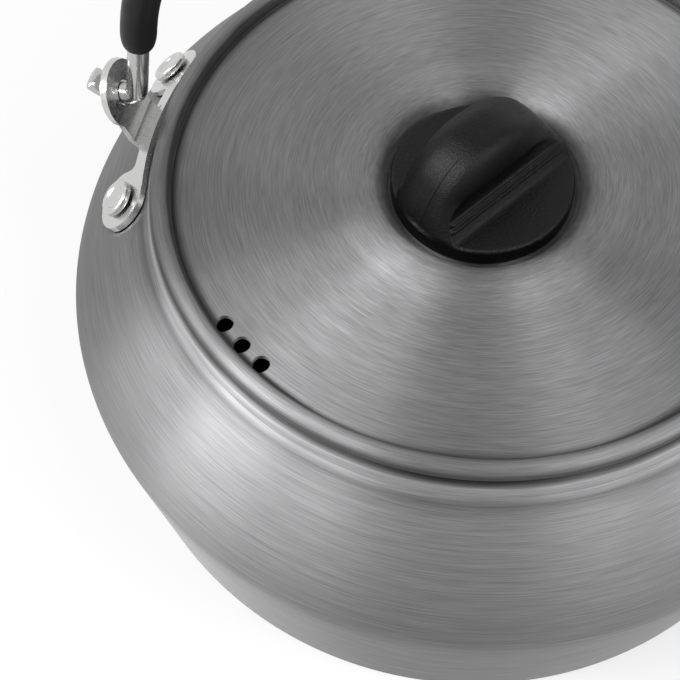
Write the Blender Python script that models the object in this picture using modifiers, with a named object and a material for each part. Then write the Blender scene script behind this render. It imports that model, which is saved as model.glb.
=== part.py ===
"""Camping kettle: a low spun aluminium pot with a swinging bail, a strainer spout and a lift-off lid.

The kettle stands on z = 0 with its axis on the z axis. The spout points to +X, and the bail
swings about an axis along Y through the ears of the two brackets. All sizes are in metres.
"""

from math import asin, atan2, cos, hypot, pi, radians, sin, sqrt, tan

import bmesh
import bpy
from mathutils import Matrix, Vector

MM = 0.001
FIT = 0.3 * MM              # air left between neighbouring pieces
TURN_STEPS = 48             # facets round a large turned piece
SMALL_STEPS = 20            # facets round a rivet, screw or other small turned piece
REACH = 60 * MM             # long enough for any cutter to run right through

# Pot
BELLY_RADIUS = 76.7 * MM
BELLY_HEIGHT = 38.6 * MM
BELLY_ROUND = 7.4 * MM
BELLY_TURN = radians(15.6)  # rise of the surface's normal where the shoulder meets the belly's round
BASE_TAPER = 4.6 * MM       # how much narrower the base is than the belly
BASE_CORNER = 2.9 * MM
WALL_LEAN = radians(5.0)    # the lower wall draws in towards the base
NECK_RADIUS = 59.7 * MM
NECK_HEIGHT = 63.1 * MM
SHOULDER_BULGE = 2.25 * MM  # how far the shoulder swells past a straight cone
SHOULDER_FULLNESS = 0.59    # where it swells most: 0 at the neck, 1 at the belly
POT_WALL = 1.0 * MM
RIM_HEIGHT = 2.4 * MM       # rim above the neck crease
RIM_DRAW = 0.3 * MM         # rim's outer side inside the neck crease
RIM_WIDTH = 3.0 * MM
RIM_BEND = 0.15 * MM        # inner radius of the rim's two bends
LIP_DEPTH = 2.6 * MM        # inner edge of the mouth, turned down

# Spout
SPOUT_TILT = radians(50.0)  # rise of the spout's axis above level
SPOUT_ROOT_RADIUS = 11.5 * MM
SPOUT_TAPER = 3.5 * MM      # how much narrower the far end is than the root
SPOUT_WALL = 1.0 * MM
SPOUT_FLANGE = 2.0 * MM     # width of the root flange that is crimped to the pot
SPOUT_FLANGE_THICKNESS = 1.0 * MM
SPOUT_ROOT_DROP = 12.0 * MM  # root centre below the neck crease
SPOUT_LIP_RISE = 8.0 * MM   # level pouring lip above the neck crease
STRAINER_HOLE = 3.6 * MM
STRAINER_PITCH = 5.6 * MM
STRAINER_MARGIN = 0.6 * MM  # least metal between a strainer hole and the spout's bore

# Brackets, stamped from steel sheet
BRACKET_SHEET = 1.1 * MM
BRACKET_NECK_GAP = 0.3 * MM     # strap's inner edge to the neck crease, along the slope
STRAP_WIDTH = 2.7 * MM
STRAP_FILLET = 1.2 * MM
TAB_RADIUS = 5.7 * MM
RIVET_SPACING = 31.0 * MM
EAR_WIDTH = 9.7 * MM
EAR_HEAD = 12.2 * MM            # round head at the ear's free end
EAR_ROOT_LENGTH = 2.6 * MM
EAR_ROOT_RISE = radians(50.0)
EAR_RISE = radians(72.0)
EAR_BEND = 1.6 * MM             # bend radius in the middle of the sheet
HINGE_REACH = 7.6 * MM          # ear bend to the hinge hole, along the ear

# Rivets
RIVET_SHANK = 3.0 * MM
RIVET_HEAD = 6.9 * MM
RIVET_HEAD_HEIGHT = 1.3 * MM
RIVET_EDGE = 0.3 * MM           # chamfer of the head
RIVET_DIMPLE = 0.35 * MM
RIVET_DIMPLE_WIDTH = 4.0 * MM
RIVET_TAIL = 5.6 * MM
RIVET_TAIL_HEIGHT = 1.0 * MM

# Bail
WIRE = 3.9 * MM
BAIL_RISE = 70.0 * MM           # top of the arch above the hinge axis
LEG_LEAN = radians(9.3)
LEG_INSET = 2.95 * MM           # hinge hole to the middle of the leg
ELBOW_RADIUS = 2.2 * MM
TIP_LENGTH = 4.4 * MM           # bent-up wire end outside the ear
TIP_LIFT = radians(38.0)
PINCH_WIDTH = 1.28              # pinched end, as a share of the wire
PINCH_HEIGHT = 0.66
SLEEVE = 6.3 * MM
SLEEVE_START = 14.6 * MM        # sleeve's end above the hinge axis
SLEEVE_NECK = 0.9               # drawn-in end of the sleeve, as a share of its diameter

# Lid
BEAD_RADIUS = 1.75 * MM
BEAD_SEAT = 0.5 * MM            # mouth edge to the middle of the bead
LID_SHEET = 0.9 * MM
LID_RING_DROP = 0.6 * MM        # flat ring below the middle of the bead
LID_RING_WIDTH = 6.1 * MM
LID_DISH = 0.5 * MM             # fall of the lid's cone towards the middle
SKIRT_CLEARANCE = 0.4 * MM
SKIRT_WALL = 0.8 * MM
SKIRT_DEPTH = 4.3 * MM          # below the pot's rim
BOSS_RADIUS = 22.6 * MM
BOSS_ROUND = 2.6 * MM
BOSS_HEIGHT = 0.8 * MM
RECESS_INSET = 3.8 * MM         # recess edge inside the boss ring's crest
RECESS_DEPTH = 3.9 * MM         # below the boss ring's crest
RECESS_FILLET = 1.0 * MM
VENT_HOLE = 3.0 * MM
VENT_INSET = 1.9 * MM           # bead crease to the vent circle
VENT_ANGLES = (138.05, 143.45, 148.75)

# Knob
KNOB_RADIUS = 16.3 * MM
KNOB_DISC = 3.5 * MM
KNOB_EDGE = 0.7 * MM
KNOB_HEIGHT = 15.4 * MM
GRIP_FOOT = 15.8 * MM
GRIP_WAIST = 11.6 * MM
GRIP_BROW = 14.4 * MM
GRIP_BROW_HEIGHT = 9.8 * MM
GRIP_TURN = radians(-34.0)
INSERT_RADIUS = 3.5 * MM
INSERT_LENGTH = 7.0 * MM
SCREW_SHANK = 3.4 * MM
SCREW_HOLE_PLAY = 0.5 * MM
SCREW_GRIP = 6.0 * MM           # how far the screw reaches into the insert
SCREW_HEAD = 8.0 * MM
SCREW_HEAD_HEIGHT = 2.2 * MM
SCREW_SLOT = 1.0 * MM
WASHER_RADIUS = 6.0 * MM
WASHER_THICKNESS = 0.8 * MM

# Sizes that follow from the ones above
BASE_RADIUS = BELLY_RADIUS - BASE_TAPER
RIM_TOP = NECK_HEIGHT + RIM_HEIGHT
RIM_OUTER = NECK_RADIUS - RIM_DRAW
MOUTH_RADIUS = RIM_OUTER - RIM_WIDTH
RIM_ROUND = RIM_BEND + POT_WALL
SPOUT_LIP = NECK_HEIGHT + SPOUT_LIP_RISE
RIVET_ROW = BRACKET_NECK_GAP + TAB_RADIUS
BEAD_CENTRE = MOUTH_RADIUS + BEAD_SEAT
BEAD_LEVEL = RIM_TOP + FIT + BEAD_RADIUS
RING_LEVEL = BEAD_LEVEL - LID_RING_DROP
CREASE_RADIUS = BEAD_CENTRE - sqrt(BEAD_RADIUS ** 2 - LID_RING_DROP ** 2)
CONE_LEVEL = RING_LEVEL - LID_DISH
BOSS_LEVEL = CONE_LEVEL + BOSS_HEIGHT
RECESS_LEVEL = BOSS_LEVEL - RECESS_DEPTH
RECESS_RADIUS = BOSS_RADIUS - RECESS_INSET
SCREW_HOLE = SCREW_SHANK / 2 + SCREW_HOLE_PLAY
KNOB_BASE = RECESS_LEVEL + FIT
INSERT_BASE = KNOB_BASE + FIT
WASHER_TOP = RECESS_LEVEL - LID_SHEET - FIT
SCREW_SEAT = WASHER_TOP - WASHER_THICKNESS - FIT


# Lines and curves

def arc(centre, radius, start, end, count):
    """Points round an arc, angles in radians."""
    angles = [start + (end - start) * i / (count - 1) for i in range(count)]
    return [Vector((centre[0] + radius * cos(a), centre[1] + radius * sin(a))) for a in angles]


def bend(start, middle, end, t):
    """The point at share t of a curve that leaves start and reaches end heading for middle."""
    return start * (1 - t) ** 2 + middle * 2 * t * (1 - t) + end * t ** 2


def offset_line(points, distance):
    """An open line moved sideways, to its left where distance is positive, with mitred corners."""
    moved = []
    for i, point in enumerate(points):
        before = (point - points[i - 1]).normalized() if i else None
        after = (points[i + 1] - point).normalized() if i < len(points) - 1 else before
        before = before or after
        run = (before + after).normalized()
        moved.append(point + Vector((-run.y, run.x)) * distance / run.dot(after))
    return moved


def mirrored(points):
    """The same points and then their mirror images in the upright axis, as one closed outline."""
    return points + [Vector((-p.x, p.y)) for p in points][::-1]


# Shapes of the pot that other pieces follow

def shoulder_controls():
    """Three control points (radius, height) of the shoulder's curve, from neck to belly."""
    neck = Vector((NECK_RADIUS, NECK_HEIGHT))
    foot = Vector((BELLY_RADIUS - BELLY_ROUND * (1 - cos(BELLY_TURN)),
                   BELLY_HEIGHT + BELLY_ROUND * sin(BELLY_TURN)))
    run = foot - neck
    swell = Vector((-run.y, run.x)).normalized() * SHOULDER_BULGE * 2
    return neck, neck + run * SHOULDER_FULLNESS + swell, foot


def shoulder_point(t):
    return bend(*shoulder_controls(), t)


def shoulder_down(t):
    """Unit vector (radius, height) down the shoulder's slope."""
    neck, middle, foot = shoulder_controls()
    return ((middle - neck) * (1 - t) + (foot - middle) * t).normalized()


def shoulder_normal(t):
    down = shoulder_down(t)
    return Vector((-down.y, down.x))


def shoulder_share(distance):
    """Where a walk of this length from the neck crease ends, as a share of the curve."""
    step = 0.001
    share = walked = 0.0
    while walked < distance and share < 1:
        walked += (shoulder_point(share + step) - shoulder_point(share)).length
        share += step
    return share


def shoulder_path(offset, start=0.0, end=1.0, count=7):
    """Points (radius, height) along the shoulder, moved outwards by offset."""
    shares = [start + (end - start) * i / (count - 1) for i in range(count)]
    return [shoulder_point(t) + shoulder_normal(t) * offset for t in shares]


# Tools for building

def clear_scene():
    for old in list(bpy.data.objects):
        bpy.data.objects.remove(old, do_unlink=True)


def collection(name):
    made = bpy.data.collections.new(name)
    bpy.context.scene.collection.children.link(made)
    return made


def material(name, colour, roughness, metallic):
    made = bpy.data.materials.new(name)
    made.use_nodes = True
    shader = made.node_tree.nodes["Principled BSDF"]
    shader.inputs["Base Color"].default_value = (*colour, 1.0)
    shader.inputs["Roughness"].default_value = roughness
    shader.inputs["Metallic"].default_value = metallic
    made.diffuse_color = (*colour, 1.0)
    return made


def add_object(name, data, home, finish=None):
    made = bpy.data.objects.new(name, data)
    home.objects.link(made)
    if finish:
        made.data.materials.append(finish)
    return made


def add_cutter(name, data):
    """A helper that cuts, joins or trims a piece and isn't a piece itself."""
    made = add_object(name, data, CUTTERS)
    made.hide_render = True
    made.display_type = "WIRE"
    return made


def modify(piece, kind, **settings):
    made = piece.modifiers.new(kind.title(), kind)
    for key, value in settings.items():
        setattr(made, key, value)
    return made


def boolean(piece, cutter, operation="DIFFERENCE"):
    modify(piece, "BOOLEAN", object=cutter, operation=operation, solver="EXACT")


def baked(helper):
    """The mesh that a helper's modifiers, or a curve's bevel, come to, with its caps welded."""
    bpy.context.view_layer.update()
    evaluated = helper.evaluated_get(bpy.context.evaluated_depsgraph_get())
    mesh = bpy.data.meshes.new_from_object(evaluated)
    work = bmesh.new()
    work.from_mesh(mesh)
    bmesh.ops.remove_doubles(work, verts=work.verts, dist=0.01 * MM)
    bmesh.ops.recalc_face_normals(work, faces=work.faces)
    work.to_mesh(mesh)
    work.free()
    mesh.transform(helper.matrix_world)
    bpy.data.objects.remove(helper, do_unlink=True)
    return mesh


def shade(piece):
    piece.data.shade_smooth()
    piece.data.set_sharp_from_angle(angle=radians(35.0))


def profile_mesh(name, outline, closed):
    mesh = bpy.data.meshes.new(name)
    count = len(outline)
    edges = [(i, (i + 1) % count) for i in range(count if closed else count - 1)]
    mesh.from_pydata([(p[0], 0.0, p[1]) for p in outline], edges, [])
    return mesh


def turn(piece, steps=TURN_STEPS):
    modify(piece, "SCREW", axis="Z", angle=2 * pi, steps=steps, render_steps=steps,
           use_merge_vertices=True, merge_threshold=0.01 * MM, use_smooth_shade=True)


def turned_mesh(name, outline, closed=True, steps=TURN_STEPS):
    """A solid of revolution; the outline runs down its outer side."""
    helper = add_object(name, profile_mesh(name, outline, closed), CUTTERS)
    turn(helper, steps)
    return baked(helper)


def cylinder_mesh(name, radius, length, centre=(0, 0, 0), axis=(0, 0, 1), sides=SMALL_STEPS, end=None):
    """A cylinder along an axis, or a cone whose far end has another radius."""
    mesh = bpy.data.meshes.new(name)
    work = bmesh.new()
    bmesh.ops.create_cone(work, cap_ends=True, segments=sides, radius1=radius,
                          radius2=radius if end is None else end, depth=length)
    turn_to = Vector((0, 0, 1)).rotation_difference(Vector(axis)).to_matrix().to_4x4()
    bmesh.ops.transform(work, matrix=Matrix.Translation(Vector(centre)) @ turn_to, verts=work.verts)
    work.to_mesh(mesh)
    work.free()
    return mesh


def joined_mesh(name, meshes):
    """Several closed meshes in one, for a group of cutters that don't touch."""
    work = bmesh.new()
    for mesh in meshes:
        work.from_mesh(mesh)
    joined = bpy.data.meshes.new(name)
    work.to_mesh(joined)
    work.free()
    return joined


def slab_mesh(name, outline, thickness, matrix):
    """A flat closed outline extruded both ways from its plane, then placed."""
    curve = bpy.data.curves.new(name, "CURVE")
    curve.dimensions = "2D"
    curve.fill_mode = "BOTH"
    curve.extrude = thickness / 2
    spline = curve.splines.new("POLY")
    spline.points.add(len(outline) - 1)
    for point, (x, y) in zip(spline.points, outline):
        point.co = (x, y, 0.0, 1.0)
    spline.use_cyclic_u = True
    mesh = baked(add_object(name, curve, CUTTERS))
    mesh.transform(matrix)
    return mesh


def tube_mesh(name, points, radius, radii=None):
    """A round bar along points (y, z) in the plane x = 0, with flat ends."""
    curve = bpy.data.curves.new(name, "CURVE")
    curve.dimensions = "3D"
    curve.bevel_depth = radius
    curve.bevel_resolution = 3
    curve.use_fill_caps = True
    curve.twist_mode = "Z_UP"
    spline = curve.splines.new("POLY")
    spline.points.add(len(points) - 1)
    for i, point in enumerate(spline.points):
        point.co = (0.0, points[i].x, points[i].y, 1.0)
        point.radius = radii[i] if radii else 1.0
    return baked(add_object(name, curve, CUTTERS))


def upright_plane(turn_about_z=0.0):
    """Stands a flat outline up: its x stays level and its y becomes the height."""
    return Matrix.Rotation(turn_about_z, 4, "Z") @ Matrix.Rotation(pi / 2, 4, "X")


# Pot

def pot_outline():
    """The pot's outer surface, from the turned-down mouth edge to the middle of the base."""
    bend_level = RIM_TOP - RIM_ROUND
    points = [Vector((MOUTH_RADIUS, RIM_TOP - LIP_DEPTH))]
    points += arc((MOUTH_RADIUS + RIM_ROUND, bend_level), RIM_ROUND, pi, pi / 2, 4)
    points += arc((RIM_OUTER - RIM_ROUND, bend_level), RIM_ROUND, pi / 2, 0, 4)
    points += shoulder_path(0.0)
    points += arc((BELLY_RADIUS - BELLY_ROUND, BELLY_HEIGHT), BELLY_ROUND, BELLY_TURN, -WALL_LEAN, 4)[1:]
    points += arc((BASE_RADIUS - BASE_CORNER, BASE_CORNER), BASE_CORNER, -WALL_LEAN, -pi / 2, 4)
    points.append(Vector((0.0, 0.0)))
    return points


def spout_axis():
    """Root centre on the shoulder, and the direction, of the spout's axis."""
    share = 0.0
    while shoulder_point(share).y > NECK_HEIGHT - SPOUT_ROOT_DROP:
        share += 0.001
    root = shoulder_point(share)
    return Vector((root.x, 0.0, root.y)), Vector((cos(SPOUT_TILT), 0.0, sin(SPOUT_TILT)))


def strainer_mesh():
    """Round cutters in a close pattern, all along the spout's axis."""
    root, along = spout_axis()
    across = Vector((0, 1, 0))
    up = along.cross(across)
    reach = SPOUT_ROOT_RADIUS - SPOUT_WALL - STRAINER_HOLE / 2 - STRAINER_MARGIN
    row_step = STRAINER_PITCH * sqrt(3) / 2
    rows = int(reach / row_step)
    columns = int(reach / STRAINER_PITCH) + 1
    holes = []
    for row in range(-rows, rows + 1):
        shift = STRAINER_PITCH / 2 if row % 2 else 0.0
        for column in range(-columns, columns + 1):
            side = column * STRAINER_PITCH + shift
            rise = row * row_step
            if hypot(side, rise) <= reach:
                centre = root + across * side + up * rise
                holes.append(cylinder_mesh("hole", STRAINER_HOLE / 2, REACH / 2, centre, along, sides=10))
    return joined_mesh("strainer_holes", holes)


def rivet_holes(places):
    return [cylinder_mesh("shank", RIVET_SHANK / 2 + FIT, RIVET_ROW, place, axis) for place, axis in places]


def make_pot():
    pot = add_object("pot", profile_mesh("pot", pot_outline(), closed=False), KETTLE, ANODISED)
    turn(pot)
    modify(pot, "SOLIDIFY", thickness=POT_WALL, offset=-1.0, use_even_offset=True)
    boolean(pot, add_cutter("cut_strainer", strainer_mesh()))
    boolean(pot, add_cutter("cut_pot_rivets", joined_mesh("pot_rivet_holes", rivet_holes(rivet_places()))))
    return pot


def spout_cone(name, shrink):
    """The spout's taper, from well inside the pot to well past the lip, with its radius shrunk."""
    root, along = spout_axis()
    shown = (SPOUT_LIP - root.z) / sin(SPOUT_TILT)
    slope = SPOUT_TAPER / shown
    start = SPOUT_ROOT_RADIUS + slope * REACH / 2 - shrink
    whole = REACH / 2 + shown + SPOUT_ROOT_RADIUS + shrink
    return cylinder_mesh(name, start, whole, root + along * (whole - REACH) / 2, along, TURN_STEPS,
                         start - slope * whole)


def flange_mesh():
    """A collar of sheet round the spout's root that follows the shoulder."""
    root, along = spout_axis()
    sheet = shoulder_path(FIT + SPOUT_FLANGE_THICKNESS, -0.1, 1.1)
    sheet += shoulder_path(FIT, -0.1, 1.1)[::-1]
    flange = add_cutter("join_flange", cylinder_mesh("flange", SPOUT_ROOT_RADIUS + SPOUT_FLANGE, REACH,
                                                     root, along, TURN_STEPS))
    boolean(flange, add_cutter("trim_flange", turned_mesh("flange_sheet", sheet)), "INTERSECT")
    return baked(flange)


def make_spout():
    spout = add_object("spout", spout_cone("spout", 0.0), KETTLE, ANODISED)
    boolean(spout, add_cutter("join_flange_solid", flange_mesh()), "UNION")
    core = shoulder_path(FIT, -0.1, 1.0)
    core = [Vector((0.0, core[0].y))] + core + [Vector((BELLY_RADIUS + FIT, BELLY_HEIGHT)),
                                                Vector((BELLY_RADIUS, 0.0)), Vector((0.0, 0.0))]
    boolean(spout, add_cutter("cut_spout_core", turned_mesh("spout_core", core, closed=False)))
    boolean(spout, add_cutter("cut_spout_bore", spout_cone("spout_bore", SPOUT_WALL)))
    top = cylinder_mesh("lip_trim", BELLY_RADIUS, REACH, (BELLY_RADIUS * 1.4, 0, SPOUT_LIP + REACH / 2))
    boolean(spout, add_cutter("cut_spout_lip", top))
    return spout


# Brackets and rivets

def rivet_places():
    """Seats on the pot's surface and outward axes of all four rivets, left pair first."""
    row = shoulder_share(RIVET_ROW)
    radius, height = shoulder_point(row)
    slope = shoulder_normal(row)
    half_turn = asin(RIVET_SPACING / 2 / radius)
    places = []
    for middle in (pi / 2, -pi / 2):
        for way in (-half_turn, half_turn):
            a = middle + way
            places.append((Vector((radius * cos(a), radius * sin(a), height)),
                           Vector((slope.x * cos(a), slope.x * sin(a), slope.y))))
    return places


def ear_path():
    """The ear's bent middle line in the YZ plane, and the hinge's place on it."""
    edge = shoulder_share(BRACKET_NECK_GAP + STRAP_WIDTH)
    root_run = Vector((cos(EAR_ROOT_RISE), sin(EAR_ROOT_RISE)))
    rise = Vector((cos(EAR_RISE), sin(EAR_RISE)))
    start = shoulder_point(edge) + shoulder_normal(edge) * (FIT + BRACKET_SHEET / 2)
    knee = start + root_run * EAR_ROOT_LENGTH
    hinge = knee + rise * HINGE_REACH
    before = knee - root_run * EAR_BEND * tan((EAR_RISE - EAR_ROOT_RISE) / 2)
    centre = before + Vector((-root_run.y, root_run.x)) * EAR_BEND
    curve = arc(centre, EAR_BEND, EAR_ROOT_RISE - pi / 2, EAR_RISE - pi / 2, 4)
    inside_strap = start - shoulder_down(edge) * STRAP_WIDTH / 2
    return [inside_strap, start] + curve + [hinge, hinge + rise * EAR_HEAD], hinge


def hinge_point():
    hinge = ear_path()[1]
    return Vector((0.0, hinge.x, hinge.y))


def strap_edge(x):
    """Height of the strap's lower edge above the rivets' line, in the bracket's own flat plane."""
    row = shoulder_share(RIVET_ROW)
    radius = shoulder_point(row).x
    sag = sqrt(radius ** 2 - x ** 2) - sqrt(radius ** 2 - (RIVET_SPACING / 2) ** 2)
    return TAB_RADIUS - STRAP_WIDTH - sag * shoulder_normal(row).y


def tab_outline():
    """The strap and its two round tabs, seen square to the shoulder, x along the strap.

    The side towards the neck runs past it, because the sheet that trims the outline ends there.
    """
    half = RIVET_SPACING / 2
    level = strap_edge(half - TAB_RADIUS - STRAP_FILLET)
    fillet_y = level - STRAP_FILLET
    fillet_x = half - sqrt((TAB_RADIUS + STRAP_FILLET) ** 2 - fillet_y ** 2)
    meet = atan2(fillet_y, half - fillet_x)
    towards_axis = pi / 2 + asin(half / shoulder_point(shoulder_share(RIVET_ROW)).x)
    side = [Vector((x, strap_edge(x))) for x in (0.2 * fillet_x, 0.6 * fillet_x)]
    side += arc((fillet_x, fillet_y), STRAP_FILLET, pi / 2, -meet, 4)
    side += arc((half, 0.0), TAB_RADIUS, pi - meet, 2 * pi + towards_axis, 18)[1:]
    side.append(side[-1] + Vector((cos(towards_axis), sin(towards_axis))) * TAB_RADIUS)
    return mirrored(side)


def place_on_shoulder():
    """Turns an outline's plane square to the shoulder at the rivet row, over +Y."""
    row = shoulder_share(RIVET_ROW)
    radius, height = shoulder_point(row)
    out, up = shoulder_normal(row)
    turn_to = Matrix(((1, 0, 0), (0, -up, out), (0, out, up))).to_4x4()
    drop = radius - sqrt(radius ** 2 - (RIVET_SPACING / 2) ** 2)
    return Matrix.Translation((0, radius - drop * up ** 2, height + drop * out * up)) @ turn_to


def thick_path(points, thickness):
    """A closed outline that follows an open line at half a thickness on both sides."""
    return offset_line(points, thickness / 2) + offset_line(points, -thickness / 2)[::-1]


def ear_mesh():
    """The bent strip of the ear, over +Y, trimmed to a narrower neck below a round head."""
    path, hinge = ear_path()
    strip = slab_mesh("ear", thick_path(path, BRACKET_SHEET), EAR_HEAD * 2, upright_plane(pi / 2))
    ear = add_cutter("join_ear", strip)
    half = EAR_WIDTH / 2
    neck = asin(sqrt(1 - (EAR_WIDTH / EAR_HEAD) ** 2))
    crown = [Vector((half, -HINGE_REACH * 2))] + arc((0.0, 0.0), EAR_HEAD / 2, -neck, pi / 2, 9)[:-1]
    crown = mirrored(crown + [Vector((0.0, EAR_HEAD / 2))])
    crown.pop(len(crown) // 2)
    crown = [Vector((p.x, hinge.y + p.y * sin(EAR_RISE))) for p in crown]
    trim = slab_mesh("crown", crown, REACH, Matrix.Translation((0, hinge.x, 0)) @ upright_plane())
    boolean(ear, add_cutter("trim_ear", trim), "INTERSECT")
    return baked(ear)


def make_bracket(name, side):
    """One bracket, side 0 over +Y and side 1 over -Y."""
    spin = Matrix.Rotation(pi * side, 4, "Z")
    plate = slab_mesh(name, tab_outline(), REACH / 2, spin @ place_on_shoulder())
    bracket = add_object(name, plate, KETTLE, STEEL)
    start = shoulder_share(BRACKET_NECK_GAP)
    end = shoulder_share(RIVET_ROW + TAB_RADIUS * 2)
    sheet = shoulder_path(FIT + BRACKET_SHEET, start, end)
    sheet += shoulder_path(FIT, start, end)[::-1]
    boolean(bracket, add_cutter("trim_" + name, turned_mesh("bracket_sheet", sheet, steps=2 * TURN_STEPS)),
            "INTERSECT")
    ear = ear_mesh()
    ear.transform(spin)
    boolean(bracket, add_cutter("join_ear_" + name, ear), "UNION")
    pin_hole = cylinder_mesh("pin", WIRE / 2 + FIT, EAR_HEAD, spin @ hinge_point(), (0, 1, 0))
    shanks = rivet_holes(rivet_places()[2 * side:2 * side + 2])
    boolean(bracket, add_cutter("cut_" + name, joined_mesh("bracket_holes", [pin_hole] + shanks)))
    return bracket


def rivet_outline():
    """A flat-topped rivet with a sunken middle outside the bracket and a set tail inside the pot."""
    under_head = 2 * FIT + BRACKET_SHEET
    top = under_head + RIVET_HEAD_HEIGHT
    tail = -(POT_WALL + FIT)
    head = RIVET_HEAD / 2
    shank = RIVET_SHANK / 2
    end = RIVET_TAIL / 2
    dimple = RIVET_DIMPLE_WIDTH / 2
    corners = ((0, top - RIVET_DIMPLE), (dimple, top - RIVET_DIMPLE), (dimple + RIVET_DIMPLE, top),
               (head - RIVET_EDGE, top), (head, top - RIVET_EDGE), (head, under_head), (shank, under_head),
               (shank, tail), (end, tail), (end, tail - RIVET_TAIL_HEIGHT + RIVET_EDGE),
               (end - 2 * RIVET_EDGE, tail - RIVET_TAIL_HEIGHT), (0, tail - RIVET_TAIL_HEIGHT))
    return [Vector(p) for p in corners]


def make_rivets():
    names = ("rivet_left_front", "rivet_left_rear", "rivet_right_rear", "rivet_right_front")
    for name, (place, axis) in zip(names, rivet_places()):
        rivet = add_object(name, profile_mesh(name, rivet_outline(), closed=False), KETTLE, STEEL)
        turn(rivet, SMALL_STEPS)
        rivet.location = place
        rivet.rotation_euler = Vector((0, 0, 1)).rotation_difference(axis).to_euler()


# Bail, drawn in its own upright plane: x outwards along the hinge axis, y up from it

def leg_foot():
    return Vector((hinge_point().y - LEG_INSET, 0.0))


def arch_centre():
    """The height of the round's centre, which makes the leaning leg run into it smoothly."""
    return (BAIL_RISE - leg_foot().x * cos(LEG_LEAN)) / (1 - sin(LEG_LEAN))


def arch(start, count):
    """The round of the bail, from an angle above the leg's top to the middle."""
    centre = arch_centre()
    return arc((0.0, centre), BAIL_RISE - centre, start, pi / 2, count)


def angle_on_arch(height):
    """Where the round passes a height, but never before it has left the leg."""
    centre = arch_centre()
    return max(LEG_LEAN, asin((height - centre) / (BAIL_RISE - centre)))


def bail_point(height):
    """The middle of the wire at a height above the hinge, on the leg or on the round above it."""
    turn_at = angle_on_arch(height)
    if turn_at > LEG_LEAN:
        return Vector(((BAIL_RISE - arch_centre()) * cos(turn_at), height))
    return Vector((leg_foot().x - height * tan(LEG_LEAN), height))


def tip_bend():
    """Where the wire bends up, just clear of the leaning ear's outer face."""
    clear = BRACKET_SHEET / 2 / sin(EAR_RISE) + WIRE / 2 / tan(EAR_RISE) + WIRE / 2 * tan(TIP_LIFT / 2)
    return Vector((hinge_point().y + clear, 0.0))


def whole_line(half):
    """A half line, and its mirror image on the other side of the arch's top."""
    return half + [Vector((-p.x, p.y)) for p in half[:-1]][::-1]


def bail_line():
    """The whole wire from tip to tip."""
    bend_at = tip_bend()
    tip_run = Vector((cos(TIP_LIFT), sin(TIP_LIFT)))
    half_corner = (pi / 2 + LEG_LEAN) / 2
    centre = leg_foot() + Vector((ELBOW_RADIUS / tan(half_corner), ELBOW_RADIUS))
    elbow = arc(centre, ELBOW_RADIUS, -pi / 2, -pi + LEG_LEAN, 6)
    half = [bend_at + tip_run * TIP_LENGTH, bend_at + tip_run * TIP_LENGTH / 2, bend_at]
    return whole_line(half + elbow + arch(LEG_LEAN, 15))


def sleeve_line():
    """The middle of the sleeve, from just above one ear to just above the other."""
    ends = [bail_point(SLEEVE_START + SLEEVE * share) for share in (0, 1 / 8, 1 / 3)]
    return whole_line(ends + arch(angle_on_arch(SLEEVE_START + SLEEVE / 2), 13))


def pinch_tips(mesh):
    """Flattens the wire outside the ears, so that it can't be pulled back through them."""
    bend_at = tip_bend()
    for vertex in mesh.vertices:
        past = abs(vertex.co.y) - bend_at.x
        if past > 0:
            share = min(1.0, past / (WIRE / 2))
            middle = past * tan(TIP_LIFT)
            vertex.co.x *= 1 + (PINCH_WIDTH - 1) * share
            vertex.co.z = middle + (vertex.co.z - middle) * (1 + (PINCH_HEIGHT - 1) * share)


def make_bail():
    pivot = bpy.data.objects.new("bail_pivot", None)
    KETTLE.objects.link(pivot)
    pivot.location = (0.0, 0.0, hinge_point().z)
    wire_mesh = tube_mesh("bail_wire", bail_line(), WIRE / 2)
    pinch_tips(wire_mesh)
    wire = add_object("bail_wire", wire_mesh, KETTLE, STEEL)
    line = sleeve_line()
    drawn_in = [SLEEVE_NECK, (1 + SLEEVE_NECK) / 2]
    radii = drawn_in + [1.0] * (len(line) - 4) + drawn_in[::-1]
    sleeve = add_object("bail_sleeve", tube_mesh("bail_sleeve", line, SLEEVE / 2, radii), KETTLE, RUBBER)
    past = (line[0] - line[2]).normalized() * SLEEVE / 2
    bore_line = [line[0] + past] + line[3:-3] + [line[-1] + Vector((-past.x, past.y))]
    bore = add_cutter("cut_sleeve", tube_mesh("sleeve_bore", bore_line, WIRE / 2 + FIT))
    boolean(sleeve, bore)
    for piece in (wire, sleeve, bore):
        piece.parent = pivot


# Lid and knob

def lid_top():
    """The lid's upper surface, from the screw hole out to the crease inside the bead."""
    return [Vector((SCREW_HOLE, RECESS_LEVEL)),
            Vector((RECESS_RADIUS - RECESS_FILLET, RECESS_LEVEL)),
            Vector((RECESS_RADIUS, RECESS_LEVEL + RECESS_FILLET / 2)),
            Vector((BOSS_RADIUS - BOSS_ROUND, BOSS_LEVEL - BOSS_HEIGHT / 2)),
            Vector((BOSS_RADIUS - BOSS_ROUND / 2, BOSS_LEVEL)),
            Vector((BOSS_RADIUS + BOSS_ROUND / 2, BOSS_LEVEL)),
            Vector((BOSS_RADIUS + BOSS_ROUND, BOSS_LEVEL - BOSS_HEIGHT / 2)),
            Vector((BOSS_RADIUS + BOSS_ROUND * 2, CONE_LEVEL)),
            Vector((CREASE_RADIUS - LID_RING_WIDTH, RING_LEVEL)),
            Vector((CREASE_RADIUS, RING_LEVEL))]


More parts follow.
